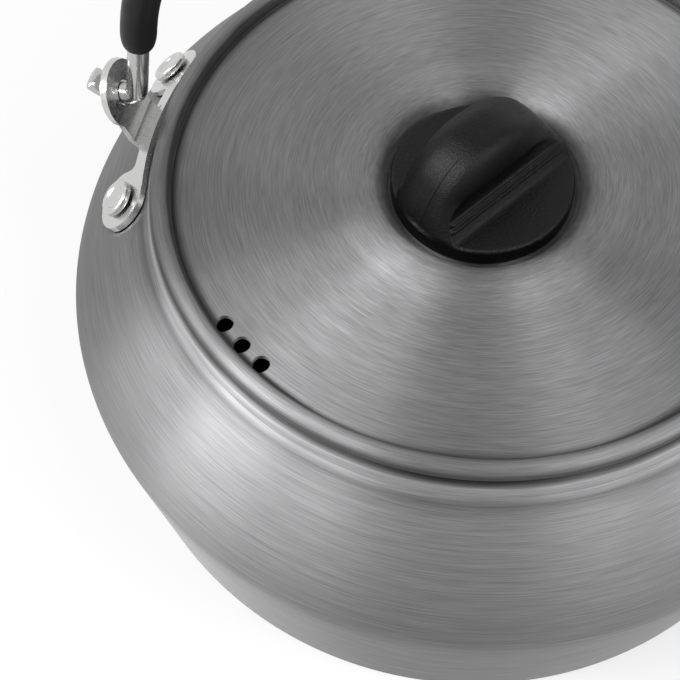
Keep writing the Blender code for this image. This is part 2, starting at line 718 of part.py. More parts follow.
def lid_outline():
    """Down the bead's outer side, the skirt, in under the sheet, and back out over the top."""
    skirt_out = MOUTH_RADIUS - SKIRT_CLEARANCE
    skirt_in = skirt_out - SKIRT_WALL
    skirt_foot = RIM_TOP - SKIRT_DEPTH
    top = lid_top()
    under = offset_line(top, -LID_SHEET)[:-1]
    crease = pi + asin(LID_RING_DROP / BEAD_RADIUS)
    bead = arc((BEAD_CENTRE, BEAD_LEVEL), BEAD_RADIUS, crease, -pi / 2, 11)[1:]
    skirt = [Vector((skirt_out, BEAD_LEVEL - BEAD_RADIUS)), Vector((skirt_out, skirt_foot)),
             Vector((skirt_in, skirt_foot)), Vector((skirt_in, RING_LEVEL - LID_SHEET))]
    return bead + skirt + under[::-1] + top


def make_lid():
    lid = add_object("lid", profile_mesh("lid", lid_outline(), closed=True), KETTLE, ANODISED)
    turn(lid)
    ring = CREASE_RADIUS - VENT_INSET
    places = [(ring * cos(radians(a)), ring * sin(radians(a)), RING_LEVEL) for a in VENT_ANGLES]
    vents = [cylinder_mesh("vent", VENT_HOLE / 2, LID_SHEET * 4, place) for place in places]
    boolean(lid, add_cutter("cut_vents", joined_mesh("vents", vents)))
    return lid


def grip_section():
    """Half of the grip's cross-section: a waist above the foot, then a round brow and crown."""
    foot = Vector((GRIP_FOOT / 2, KNOB_DISC + KNOB_EDGE / 2))
    brow = Vector((GRIP_BROW / 2, GRIP_BROW_HEIGHT))
    waist = Vector((GRIP_WAIST - (foot.x + brow.x) / 2, (foot.y + brow.y) / 2))
    scoop = [bend(foot, waist, brow, i / 5) for i in range(6)]
    crown = [Vector((brow.x * cos(a), brow.y + (KNOB_HEIGHT - brow.y) * 1.1 * sin(a)))
             for a in [radians(18 * i) for i in range(1, 5)]]
    return [Vector((foot.x, KNOB_DISC / 2))] + scoop + crown


def grip_mesh():
    """A dome over the whole disc, trimmed to the grip's cross-section."""
    base = KNOB_BASE + KNOB_DISC / 2
    dome = bpy.data.meshes.new("dome")
    work = bmesh.new()
    bmesh.ops.create_uvsphere(work, u_segments=32, v_segments=18, radius=1.0)
    spread = KNOB_RADIUS - KNOB_EDGE / 3
    bmesh.ops.scale(work, vec=(spread, spread, KNOB_HEIGHT - KNOB_DISC / 2), verts=work.verts)
    bmesh.ops.translate(work, vec=(0, 0, base), verts=work.verts)
    work.to_mesh(dome)
    work.free()
    grip = add_cutter("join_grip", dome)
    stand = Matrix.Translation((0, 0, KNOB_BASE)) @ upright_plane(GRIP_TURN + pi / 2)
    section = slab_mesh("grip_slab", mirrored(grip_section()), REACH, stand)
    boolean(grip, add_cutter("trim_grip", section), "INTERSECT")
    return baked(grip)


def make_knob():
    top = KNOB_BASE + KNOB_DISC
    outline = [Vector((0, top))] + arc((KNOB_RADIUS - KNOB_EDGE, top - KNOB_EDGE), KNOB_EDGE, pi / 2, 0, 4)
    outline += [Vector((KNOB_RADIUS, KNOB_BASE)), Vector((0, KNOB_BASE))]
    knob = add_object("knob", turned_mesh("knob", outline, closed=False), KETTLE, PLASTIC)
    boolean(knob, add_cutter("join_grip_solid", grip_mesh()), "UNION")
    depth = INSERT_LENGTH + 2 * FIT
    bore = cylinder_mesh("bore", INSERT_RADIUS + FIT, depth * 2, (0, 0, KNOB_BASE))
    boolean(knob, add_cutter("cut_knob_bore", bore))
    return knob


def ring_mesh(name, inner, outer, low, high):
    corners = ((outer, high), (outer, low), (inner, low), (inner, high))
    return turned_mesh(name, [Vector(p) for p in corners], steps=SMALL_STEPS)


def make_knob_fixings():
    head = SCREW_HEAD / 2
    shank = SCREW_SHANK / 2
    insert = ring_mesh("knob_insert", shank + FIT, INSERT_RADIUS, INSERT_BASE, INSERT_BASE + INSERT_LENGTH)
    add_object("knob_insert", insert, KETTLE, BRASS)
    washer = ring_mesh("knob_washer", SCREW_HOLE, WASHER_RADIUS, WASHER_TOP - WASHER_THICKNESS, WASHER_TOP)
    add_object("knob_washer", washer, KETTLE, STEEL)
    tip = INSERT_BASE + SCREW_GRIP
    foot = SCREW_SEAT - SCREW_HEAD_HEIGHT
    corners = ((0, tip), (shank, tip), (shank, SCREW_SEAT), (head, SCREW_SEAT),
               (head, SCREW_SEAT - SCREW_SLOT), (head - SCREW_SLOT, foot), (0, foot))
    outline = [Vector(p) for p in corners]
    screw = add_object("knob_screw", turned_mesh("knob_screw", outline, closed=False, steps=SMALL_STEPS),
                       KETTLE, STEEL)
    half = SCREW_SLOT / 2
    slot = slab_mesh("slot", mirrored([Vector((SCREW_HEAD, -half)), Vector((SCREW_HEAD, half))]),
                     SCREW_SLOT * 2, Matrix.Translation((0, 0, foot)))
    boolean(screw, add_cutter("cut_slot", slot))


def main():
    make_pot()
    make_spout()
    make_bracket("bracket_left", 0)
    make_bracket("bracket_right", 1)
    make_rivets()
    make_bail()
    make_lid()
    make_knob()
    make_knob_fixings()
    for piece in KETTLE.objects:
        if piece.type == "MESH" and not any(m.type == "SCREW" for m in piece.modifiers):
            shade(piece)
    hinge = hinge_point()
    print("hinge height %.1f mm, hinge to axis %.1f mm" % (hinge.z / MM, hinge.y / MM))


clear_scene()
KETTLE = collection("camping_kettle")
CUTTERS = collection("cutters")
ANODISED = material("hard_anodised_aluminium", (0.13, 0.13, 0.135), 0.38, 0.9)
STEEL = material("stainless_steel", (0.62, 0.62, 0.61), 0.22, 1.0)
PLASTIC = material("black_moulded_plastic", (0.012, 0.012, 0.013), 0.35, 0.0)
RUBBER = material("black_silicone", (0.014, 0.014, 0.015), 0.5, 0.0)
BRASS = material("brass", (0.62, 0.44, 0.18), 0.3, 1.0)
main()
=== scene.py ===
# %% [markdown]
# # A spun aluminium camping kettle
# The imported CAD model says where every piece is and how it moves. This file loads it as a fixed
# frame and gives each piece its finished surface. Sizes below are in millimetres, as on a workshop
# drawing, and the models are in metres, so every length is multiplied by MM once, at the end.

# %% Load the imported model
from math import cos, hypot, pi, radians, sin, sqrt, tan

import bmesh
import bpy
from mathutils import Matrix, Vector


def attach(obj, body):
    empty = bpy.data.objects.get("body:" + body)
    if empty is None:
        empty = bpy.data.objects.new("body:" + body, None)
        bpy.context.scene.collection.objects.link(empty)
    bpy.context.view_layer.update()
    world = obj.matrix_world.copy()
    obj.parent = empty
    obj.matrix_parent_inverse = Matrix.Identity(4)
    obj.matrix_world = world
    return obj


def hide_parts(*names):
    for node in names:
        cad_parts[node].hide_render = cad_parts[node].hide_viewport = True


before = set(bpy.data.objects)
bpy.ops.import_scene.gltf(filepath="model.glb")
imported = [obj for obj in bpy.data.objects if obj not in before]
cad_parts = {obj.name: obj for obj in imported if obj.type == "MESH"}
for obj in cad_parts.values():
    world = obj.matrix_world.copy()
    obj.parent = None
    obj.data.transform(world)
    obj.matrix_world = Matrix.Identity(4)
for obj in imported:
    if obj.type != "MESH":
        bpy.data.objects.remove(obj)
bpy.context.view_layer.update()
MM = 0.001

# %% [markdown]
# ## Small tools
# A shape is easiest to read as a few named points joined by arcs, so the first helpers make arcs,
# smooth curves and side-steps of a line. They work in plain (across, up) pairs in millimetres.

# %% Arcs, curves and parallel lines
def arc(centre, radius, start, end, count):
    """Points round an arc, with its two angles in degrees."""
    angles = [radians(start + (end - start) * i / (count - 1)) for i in range(count)]
    return [Vector((centre[0] + radius * cos(a), centre[1] + radius * sin(a))) for a in angles]


def pull(start, middle, end, t):
    """The point at share t of a curve that leaves start and arrives at end heading for middle."""
    return start * (1 - t) ** 2 + middle * 2 * t * (1 - t) + end * t ** 2


def smooth(points, steps):
    """A flowing line through all the points, with this many steps between each two."""
    points = [Vector(p) for p in points]
    ends = [points[0] * 2 - points[1], *points, points[-1] * 2 - points[-2]]
    line = []
    for a, b, c, d in zip(ends, ends[1:], ends[2:], ends[3:]):
        for i in range(steps):
            t = i / steps
            line.append(0.5 * (2 * b + (c - a) * t + (2 * a - 5 * b + 4 * c - d) * t ** 2
                               + (3 * b - a - 3 * c + d) * t ** 3))
    return line + [points[-1]]


def beside(points, distance):
    """The same line moved sideways, to its left where distance is positive."""
    moved = []
    for i, point in enumerate(points):
        before = (point - points[i - 1]).normalized() if i else None
        after = (points[i + 1] - point).normalized() if i < len(points) - 1 else before
        before = before or after
        run = (before + after).normalized()
        moved.append(point + Vector((-run.y, run.x)) * distance / run.dot(after))
    return moved


print("an arc of three points:", [tuple(round(c, 2) for c in p) for p in arc((0, 0), 1, 0, 90, 3)])

# %% [markdown]
# Each helper below hands back a mesh or an object. A turned piece is a lathe job: the half section
# is drawn once and swept round the axis with Blender's Screw modifier.

# %% Meshes, cutters and pieces
def new_mesh(name, vertices, edges=(), faces=()):
    """A mesh from points in millimetres."""
    mesh = bpy.data.meshes.new(name)
    mesh.from_pydata([Vector(v) * MM for v in vertices], edges, faces)
    return mesh


def put(name, mesh):
    piece = bpy.data.objects.new(name, mesh)
    bpy.context.scene.collection.objects.link(piece)
    return piece


def modify(piece, kind, **settings):
    modifier = piece.modifiers.new(kind.title(), kind)
    for key, value in settings.items():
        setattr(modifier, key, value)


def settle(piece):
    """Turns the piece's modifiers into plain mesh and welds what meets."""
    bpy.context.view_layer.update()
    evaluated = piece.evaluated_get(bpy.context.evaluated_depsgraph_get())
    mesh = bpy.data.meshes.new_from_object(evaluated)
    work = bmesh.new()
    work.from_mesh(mesh)
    bmesh.ops.remove_doubles(work, verts=work.verts, dist=0.005 * MM)
    bmesh.ops.recalc_face_normals(work, faces=work.faces)
    work.to_mesh(mesh)
    work.free()
    piece.modifiers.clear()
    piece.data = mesh
    return piece


def turned(name, section, steps=256, closed=True):
    """A solid of revolution about the kettle's axis from a half section (radius, height)."""
    count = len(section)
    edges = [(i, (i + 1) % count) for i in range(count if closed else count - 1)]
    piece = put(name, new_mesh(name, [(r, 0, z) for r, z in section], edges))
    modify(piece, "SCREW", axis="Z", angle=2 * pi, steps=steps, render_steps=steps,
           use_merge_vertices=True, merge_threshold=0.005 * MM)
    return settle(piece)


def rod(name, radius, length, centre, axis=(0, 0, 1), sides=48):
    """A round bar about a centre, used to drill holes."""
    mesh = bpy.data.meshes.new(name)
    work = bmesh.new()
    bmesh.ops.create_cone(work, cap_ends=True, segments=sides, radius1=radius * MM,
                          radius2=radius * MM, depth=length * MM)
    stand = Vector((0, 0, 1)).rotation_difference(Vector(axis)).to_matrix().to_4x4()
    bmesh.ops.transform(work, verts=work.verts, matrix=Matrix.Translation(Vector(centre) * MM) @ stand)
    work.to_mesh(mesh)
    work.free()
    return put(name, mesh)


def combine(piece, tools, operation="DIFFERENCE"):
    """Cuts, joins or trims a piece with other solids, which are used up."""
    for tool in tools:
        modify(piece, "BOOLEAN", object=tool, operation=operation, solver="EXACT")
    settle(piece)
    for tool in tools:
        bpy.data.objects.remove(tool, do_unlink=True)
    return piece


def dress(piece, finish, slot, body, *nodes, sharp=32):
    """Gives a piece its finish and smooth shading, and puts it in the place of its CAD nodes."""
    piece.data.materials.clear()
    piece.data.materials.append(finish)
    piece.data.shade_smooth()
    piece.data.set_sharp_from_angle(angle=radians(sharp))
    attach(piece, body)
    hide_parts(*nodes)
    print(piece.name, "has", len(piece.data.polygons), "faces")


print("tools made:", ", ".join(tool.__name__ for tool in (turned, rod, combine, dress)))

# %% [markdown]
# ## Finishes
# Colours are written as the hex values that a paint program shows. Blender's shaders work in linear
# light, so one function converts them. One more function adds a node with its settings and links.

# %% Colour and node helpers
def linear(hex_colour):
    """An sRGB hex value as the linear RGBA that a shader takes."""
    parts = [int(hex_colour[i:i + 2], 16) / 255 for i in (1, 3, 5)]
    return (*[p / 12.92 if p <= 0.04045 else ((p + 0.055) / 1.055) ** 2.4 for p in parts], 1.0)


def add(tree, kind, ports=None, **settings):
    """Adds one node. Ports are its inputs: each takes a value, or the node or output that feeds it."""
    node = tree.nodes.new(kind)
    for key, value in settings.items():
        setattr(node, key, value)
    for port, value in (ports or {}).items():
        if isinstance(value, bpy.types.Node):
            value = value.outputs[0]
        if isinstance(value, bpy.types.NodeSocket):
            tree.links.new(value, node.inputs[port])
        else:
            node.inputs[port].default_value = value
    return node


def new_finish(name):
    finish = bpy.data.materials.new(name)
    finish.use_nodes = True
    finish.node_tree.nodes.clear()
    return finish, finish.node_tree


def finish_with(tree, shader):
    add(tree, "ShaderNodeOutputMaterial", {"Surface": shader})


def reshape(tree, value, low, high, to_low, to_high):
    """Maps a value from one range to another and keeps it inside the second."""
    return add(tree, "ShaderNodeMapRange", {"Value": value, "From Min": low, "From Max": high,
                                            "To Min": to_low, "To Max": to_high})


print("#808080 in linear light is", round(linear("#808080")[0], 3))

# %% [markdown]
# **Hard anodised aluminium, spun.** The pot and lid are discs of aluminium sheet, pressed over a
# former on a lathe. The tool and the abrasive leave fine grooves that run round the axis, and the
# anodising turns the metal grey. What the eye gets from the grooves is anisotropy: light scatters
# across them, so the lid shows bright fans that run out from the middle.
#
# The grooves are drawn in lathe coordinates: how far a point is out from the axis and down the
# side, and which way it faces. One noise has long lines, one has broad bands, and one has short
# scratches. Real grooves are a few hundredths of a millimetre apart, which is too fine for the
# render, so the lines are drawn 0.26 mm apart and the scratches 0.17 mm.

# %% Lathe lines
# Most of a noise lies between these two values.
FAINT, STRONG = 0.3, 0.7


def on_lathe(tree):
    """A point's offset from the axis, how far out that is, and its height."""
    place = add(tree, "ShaderNodeTexCoord").outputs["Object"]
    flat = add(tree, "ShaderNodeVectorMath", {0: place, 1: (1, 1, 0)}, operation="MULTIPLY")
    out = add(tree, "ShaderNodeVectorMath", {0: flat}, operation="LENGTH").outputs["Value"]
    height = add(tree, "ShaderNodeSeparateXYZ", {0: place}).outputs["Z"]
    return flat, out, height


def lathe_lines(tree, pitch, turns, detail):
    """Noise in rings: pitch is their spacing in mm, turns how often a ring changes on its way round."""
    flat, out, height = on_lathe(tree)
    facing = add(tree, "ShaderNodeVectorMath", {0: flat}, operation="NORMALIZE")
    facing = add(tree, "ShaderNodeVectorMath", {0: facing, "Scale": turns / pi}, operation="SCALE")
    along = add(tree, "ShaderNodeMath", {0: out, 1: height}, operation="SUBTRACT")
    along = add(tree, "ShaderNodeMath", {0: along, 1: 1 / (pitch * MM)}, operation="MULTIPLY")
    ring = add(tree, "ShaderNodeCombineXYZ", {"Z": along})
    spot = add(tree, "ShaderNodeVectorMath", {0: facing, 1: ring}, operation="ADD")
    return add(tree, "ShaderNodeTexNoise", {"Vector": spot, "Scale": 1.0, "Detail": detail,
                                            "Roughness": 0.6})


print("a noise is read between", FAINT, "and", STRONG)

# %% [markdown]
# The metal isn't drawn as one even grey: light and shade are painted into its colour as a tone laid
# over the lines, with a painted highlight on the boss, the bead and the pot's rim, and painted shade
# in the knob's seat, in the folds and under the bead. It follows the radius on the lid and the
# height on the pot. The spout is the same metal without this painted light and shade.

# %% Spun aluminium
def paint_light_and_shade(tree, value, stops):
    """Painted light and shade as a tone that changes with a distance: stops are (millimetres, share of the
    base colour).
    """
    longest = stops[-1][0]
    share = add(tree, "ShaderNodeMath", {0: value, 1: 1 / (longest * MM)}, operation="MULTIPLY")
    ramp = add(tree, "ShaderNodeValToRGB", {"Fac": share})
    points = ramp.color_ramp.elements
    for i, (distance, tone) in enumerate(stops):
        point = points[i] if i < 2 else points.new(1.0)
        point.position = distance / longest
        point.color = (tone / 2, tone / 2, tone / 2, 1)
    return add(tree, "ShaderNodeMath", {0: ramp, 1: 2.0}, operation="MULTIPLY")


def spun_aluminium(name, measure, stops):
    """Measure says what the painted light and shade follows: the distance out from the axis, or the height.
    """
    grey, roughness, anisotropy, contrast = "#808081", 0.46, 0.97, 0.11
    finish, tree = new_finish(name)
    lines = lathe_lines(tree, pitch=0.26, turns=4, detail=2.0)
    bands = lathe_lines(tree, pitch=1.7, turns=3, detail=1.0)
    nicks = lathe_lines(tree, pitch=0.17, turns=27, detail=1.0)
    scratches = reshape(tree, nicks, FAINT, STRONG, -1.0, 1.0)
    tone = reshape(tree, lines, FAINT, STRONG, 1 - contrast, 1 + contrast)
    wide = reshape(tree, bands, FAINT, STRONG, 1 - contrast / 3, 1 + contrast / 3)
    tone = add(tree, "ShaderNodeMath", {0: tone, 1: wide}, operation="MULTIPLY")
    tone = add(tree, "ShaderNodeMath", {0: scratches, 1: contrast * 1.5, 2: tone},
               operation="MULTIPLY_ADD")
    _, out, height = on_lathe(tree)
    # The tone is multiplied by painted light and shade, which follows the radius or the height.
    painted_tone = paint_light_and_shade(tree, out if measure == "radius" else height, stops)
    tone = add(tree, "ShaderNodeMath", {0: tone, 1: painted_tone}, operation="MULTIPLY")
    colour = add(tree, "ShaderNodeVectorMath", {0: linear(grey)[:3], "Scale": tone},
                 operation="SCALE")
    rough = reshape(tree, lines, FAINT, STRONG, roughness - 0.05, roughness + 0.05)
    relief = add(tree, "ShaderNodeBump", {"Height": lines, "Strength": 0.5, "Distance": 0.004 * MM})
    round_axis = add(tree, "ShaderNodeTangent", direction_type="RADIAL", axis="Z")
    shader = add(tree, "ShaderNodeBsdfPrincipled", {
        "Base Color": colour, "Metallic": 1.0, "Roughness": rough, "Anisotropic": anisotropy,
        "Anisotropic Rotation": 0.25, "Normal": relief, "Tangent": round_axis})
    finish_with(tree, shader)
    return finish


# Painted light and shade from the middle out: painted shade in the sunken seat round the knob, a
# painted highlight on the boss, the cone, painted shade in the crease, and a painted highlight on
# the bead with painted shade on its far side.
LID_PAINTED_LIGHT_AND_SHADE = ((0, 0.4), (16.6, 0.4), (17.4, 0.8), (20.5, 1.04), (24.5, 1.12), (28, 1.02),
             (40, 1.04), (47, 1.0), (51, 0.96), (53.6, 0.94), (54.3, 0.75), (54.9, 0.4),
             (55.5, 0.22), (55.85, 0.7), (57.1, 1.1), (58.0, 1.0), (58.45, 0.65), (58.65, 0.3),
             (60, 0.3))
# Painted light and shade from the base up: the wall, a little darker above the belly, lighter up the
# shoulder, painted shade in the fold at the neck, a painted highlight on the rim and painted shade
# under the lid's bead.
POT_PAINTED_LIGHT_AND_SHADE = ((0, 0.95), (30, 0.95), (42, 0.85), (50, 1.0), (60, 1.15), (61.6, 0.98), (62.2, 0.7),
             (62.6, 1.15), (63.4, 1.4), (65.0, 1.6), (65.35, 0.4), (66, 0.3))
LID_METAL = spun_aluminium("spun_anodised_lid", "radius", LID_PAINTED_LIGHT_AND_SHADE)
POT_METAL = spun_aluminium("spun_anodised_pot", "height", POT_PAINTED_LIGHT_AND_SHADE)
SPOUT_METAL = spun_aluminium("drawn_anodised_spout", "height", ((0, 1.0), (80, 1.0)))
print("made", LID_METAL.name, POT_METAL.name, SPOUT_METAL.name)

# %% [markdown]
# **Stainless steel.** The brackets and rivets are stamped from sheet, then tumbled with ceramic
# chips, which leaves them bright with small dents. The bail is drawn wire with a smoother skin.
# Both are a bare metal with low roughness. The dents are a soft bump, 2.6 mm wide on the stamped
# pieces and 3.5 mm on the wire, and faint smears 0.7 mm wide make the gloss uneven.

# %% Stamped steel and drawn wire
SMEAR = 0.7


def steel(name, colour, roughness, dent_width, dent_depth):
    finish, tree = new_finish(name)
    place = add(tree, "ShaderNodeTexCoord").outputs["Object"]
    dents = add(tree, "ShaderNodeTexNoise", {"Vector": place, "Scale": 1 / (dent_width * MM),
                                             "Detail": 0.5, "Roughness": 0.4})
    smear = add(tree, "ShaderNodeTexNoise", {"Vector": place, "Scale": 1 / (SMEAR * MM), "Detail": 3.0})
    rough = reshape(tree, smear, 0.35, 0.65, roughness - 0.05, roughness + 0.09)
    relief = add(tree, "ShaderNodeBump", {"Height": dents, "Strength": 1.0, "Distance": dent_depth * MM})
    shader = add(tree, "ShaderNodeBsdfPrincipled", {
        "Base Color": linear(colour), "Metallic": 1.0, "Roughness": rough, "Normal": relief})
    finish_with(tree, shader)
    return finish


STAMPED = steel("tumbled_stainless_steel", "#C6C6C5", 0.22, 2.6, 0.045)
DRAWN = steel("drawn_stainless_wire", "#B8B8B7", 0.15, 3.5, 0.03)
print("made", STAMPED.name, "and", DRAWN.name)

# %% [markdown]
# **Black plastic, silicone and brass.** The knob is moulded phenolic or nylon: the mould was
# spark-eroded, so the skin has a soft sheen and a fine grain, which is usually 0.1 to 0.2 mm wide.
# It is drawn at 0.26 mm so that it shows, and at 0.42 mm on the flat disc, where it looks coarser.
# The sleeve on the bail is a silicone tube, smoother to the touch but duller. The nut inside the
# knob is turned brass, with turning lines drawn 0.3 mm apart.

# %% Moulded plastic and silicone
# The gloss changes in clouds of 6 mm. The grip is turned 56 degrees about the lid's axis.
CLOUD = 6
KNOB_TURN = 56
DISC_GRAIN = 0.42


def grained(name, colour, roughness, grain, depth):
    finish, tree = new_finish(name)
    place = add(tree, "ShaderNodeTexCoord").outputs["Object"]
    skin = add(tree, "ShaderNodeTexNoise", {"Vector": place, "Scale": 1 / (grain * MM), "Detail": 2.0})
    cloud = add(tree, "ShaderNodeTexNoise", {"Vector": place, "Scale": 1 / (CLOUD * MM), "Detail": 2.0})
    rough = reshape(tree, cloud, 0.35, 0.65, roughness - 0.05, roughness + 0.06)
    relief = add(tree, "ShaderNodeBump", {"Height": skin, "Strength": 1.0, "Distance": depth * MM})
    shader = add(tree, "ShaderNodeBsdfPrincipled", {
        "Base Color": linear(colour), "Roughness": rough, "Specular IOR Level": 0.19, "Normal": relief})
    finish_with(tree, shader)
    return finish


def moulded_knob():
    """The grained plastic, with a coarser grain on the flat disc and a mould line on the grip's ends."""
    finish = grained("black_moulded_plastic", "#030303", 0.29, 0.26, 0.12)
    tree = finish.node_tree
    shader = tree.nodes["Principled BSDF"]
    place = add(tree, "ShaderNodeTexCoord").outputs["Object"]
    straight = add(tree, "ShaderNodeVectorRotate", {"Vector": place, "Angle": radians(-KNOB_TURN)},
                   rotation_type="Z_AXIS")
    own = add(tree, "ShaderNodeSeparateXYZ", {0: straight})
    coarse = add(tree, "ShaderNodeTexNoise", {"Vector": place, "Scale": 1 / (DISC_GRAIN * MM),
                                              "Detail": 1.0})
    # The coarse grain fades out just above the disc's flat top.
    on_disc = reshape(tree, own.outputs["Z"], 67.1 * MM, 67.5 * MM, 0.09, 0.0)
    spark = add(tree, "ShaderNodeMath", {0: coarse, 1: on_disc}, operation="MULTIPLY")
    # The mould line runs over both ends of the grip, a little off its middle.
    aside = add(tree, "ShaderNodeMath", {0: own.outputs["X"], 1: 0.3 * MM}, operation="ADD")
    aside = add(tree, "ShaderNodeMath", {0: aside}, operation="ABSOLUTE")
    line = reshape(tree, aside, 0.05 * MM, 0.13 * MM, 1.0, 0.0)
    outwards = add(tree, "ShaderNodeMath", {0: own.outputs["Y"]}, operation="ABSOLUTE")
    near_end = reshape(tree, outwards, 6.2 * MM, 7.5 * MM, 0.0, 1.0)
    groove = add(tree, "ShaderNodeMath", {0: line, 1: near_end}, operation="MULTIPLY")
    height = add(tree, "ShaderNodeMath", {0: groove, 1: -0.12, 2: spark}, operation="MULTIPLY_ADD")
    fine = shader.inputs["Normal"].links[0].from_socket
    relief = add(tree, "ShaderNodeBump", {"Height": height, "Strength": 1.0, "Distance": MM,
                                          "Normal": fine})
    tree.links.new(relief.outputs[0], shader.inputs["Normal"])
    return finish


PLASTIC = moulded_knob()
SILICONE = grained("black_silicone", "#080808", 0.45, 0.6, 0.01)
print("made", PLASTIC.name, "and", SILICONE.name)


# %% Turned brass
def turned_brass(name):
    finish, tree = new_finish(name)
    lines = lathe_lines(tree, pitch=0.3, turns=2, detail=1.0)
    rough = reshape(tree, lines, FAINT, STRONG, 0.22, 0.34)
    shader = add(tree, "ShaderNodeBsdfPrincipled", {
        "Base Color": linear("#C8A45C"), "Metallic": 1.0, "Roughness": rough})
    finish_with(tree, shader)
    return finish


BRASS = turned_brass("turned_brass")
print("made", BRASS.name)

# %% [markdown]
# ## The pot
# A low round body spun from one disc: a flat base, a lower wall that leans out, a tight belly, a
# long shoulder that swells a little, and a bent rim that the lid sits on. The half section below
# repeats the CAD's sizes with more points, and the sheet is 1 mm thick all the way round.

# %% The pot's half section
NECK = Vector((59.7, 63.1))
BELLY_RADIUS = 76.7
BELLY_HEIGHT = 38.6
BELLY_ROUND = 7.4
BELLY_TURN = 15.6
BELLY_FOOT = Vector((BELLY_RADIUS - BELLY_ROUND * (1 - cos(radians(BELLY_TURN))),
                     BELLY_HEIGHT + BELLY_ROUND * sin(radians(BELLY_TURN))))
WALL_LEAN = 5
BASE_ROUND = 2.9
BASE_CENTRE = (69.2, 2.9)
RIM_TOP = 65.5
RIM_ROUND = 1.15
MOUTH = 56.4
SHEET = 1.0


def shoulder(t):
    """A point (radius, height) of the shoulder: t is 0 at the neck and 1 at the belly."""
    run = BELLY_FOOT - NECK
    swell = Vector((-run.y, run.x)).normalized() * 4.5
    return pull(NECK, NECK + run * 0.59 + swell, BELLY_FOOT, t)


skin = [Vector((MOUTH, RIM_TOP - 2.6))]
skin += arc((MOUTH + RIM_ROUND, RIM_TOP - RIM_ROUND), RIM_ROUND, 180, 90, 9)
skin += arc((MOUTH + 1.85, RIM_TOP - RIM_ROUND), RIM_ROUND, 90, 0, 9)
skin += [shoulder(i / 26) for i in range(27)]
skin += arc((69.3, BELLY_HEIGHT), BELLY_ROUND, BELLY_TURN, -WALL_LEAN, 13)[1:]
wall_foot = Vector((BASE_CENTRE[0] + BASE_ROUND * cos(radians(WALL_LEAN)),
                    BASE_CENTRE[1] - BASE_ROUND * sin(radians(WALL_LEAN))))
skin += [skin[-1].lerp(wall_foot, i / 9) for i in range(1, 9)]
skin += arc(BASE_CENTRE, BASE_ROUND, -WALL_LEAN, -90, 12)
skin += [Vector((r, 0)) for r in (56, 38, 19)] + [Vector((0, 0))]
inside = beside(skin, -SHEET)
pot = turned("pot_body", skin + inside[::-1], closed=False)
print("belly", round(max(p.x for p in skin) * 2, 1), "mm across, neck", round(NECK.x * 2, 1))

# %% [markdown]
# The water leaves through a group of round holes behind the spout, which hold back tea leaves.
# They are drilled along the spout's own axis, which rises at 50 degrees from the shoulder.

# %% Strainer holes
SPOUT_RISE = 50
HOLE_PITCH = 5.6
HOLE_RADIUS = 1.8
GROUP_RADIUS = 8.1
along = Vector((cos(radians(SPOUT_RISE)), 0, sin(radians(SPOUT_RISE))))
across = Vector((0, 1, 0))
up_spout = along.cross(across)
root = next(shoulder(i / 1000) for i in range(1000) if shoulder(i / 1000).y <= NECK.y - 12)
root = Vector((root.x, 0, root.y))
drills = []
for row in (-1, 0, 1):
    for column in (-1, 0, 1):
        side = (column + (0.5 if row else 0)) * HOLE_PITCH
        rise = row * HOLE_PITCH * sqrt(3) / 2
        if hypot(side, rise) < GROUP_RADIUS:
            centre = root + across * side + up_spout * rise
            drills.append(rod("strainer_drill", HOLE_RADIUS, 30, centre, along))
holes = len(drills)
combine(pot, drills)
dress(pot, POT_METAL, "anodised_aluminium", "kettle", "pot")
print(holes, "strainer holes")

# %% [markdown]
# ## The lid
# Another spun disc. From the middle out: a sunken seat for the knob, a rounded boss ring, a shallow
# cone, a flat ring and a rolled bead. A skirt under the bead drops into the pot's mouth. The seat
# and boss are one flowing curve, because the sheet was pressed over a rounded former.

# %% The lid's half section
BEAD = Vector((56.9, 67.55))
BEAD_ROUND = 1.75
CREASE = BEAD.x - sqrt(BEAD_ROUND ** 2 - 0.6 ** 2)
RING = 66.95
SEAT = 63.35
LID_SHEET = 0.9
top = [Vector((r, SEAT)) for r in (2.2, 7, 12, 15.5)]
top += smooth([(16.7, 63.4), (17.4, 64.1), (18.1, 65.2), (19.1, 66.3), (20.6, 66.95), (22.6, 67.2),
               (25.4, 66.98), (28.2, 66.55), (33, 66.56), (40, 66.74), (CREASE - 6.1, 66.94)], 6)
# The flat ring, and the small groove where it meets the bead.
top += [Vector((CREASE + across, RING + down)) for across, down in (
    (-5.9, 0), (-3.4, 0), (-2.0, 0), (-1.2, -0.12), (-0.6, -0.45), (-0.2, -0.62), (0.12, -0.5))]
under = beside(top, -LID_SHEET)[:-1]
bead = arc(BEAD, BEAD_ROUND, 180 + 26, -90, 28)[1:]
skirt = [Vector(p) for p in ((56.0, 65.8), (56.0, 61.2), (55.2, 61.2), (55.2, RING - LID_SHEET))]
lid = turned("lid_sheet", bead + skirt + under[::-1] + top)
print("bead", round((BEAD.x + BEAD_ROUND) * 2, 1), "mm across")

# %% Vent holes
VENT_CIRCLE = CREASE - 1.9
VENT_RADIUS = 1.5
vents = []
for angle in (138.05, 143.45, 148.75):
    centre = (VENT_CIRCLE * cos(radians(angle)), VENT_CIRCLE * sin(radians(angle)), RING)
    vents.append(rod("vent_drill", VENT_RADIUS, 8, centre))
combine(lid, vents)
dress(lid, LID_METAL, "anodised_aluminium", "lid", "lid", sharp=40)
print("vents on a circle of radius", round(VENT_CIRCLE, 1))

# %% [markdown]
# ## The bail
# The carrying handle is one length of 3.9 mm wire. Each end passes through an ear, bends up and is
# pinched flat, so it can't pull out. Inside the ear the wire turns up a leg and over the round.
# It is lofted: a ring of points is carried along the middle line and joined to the next ring.

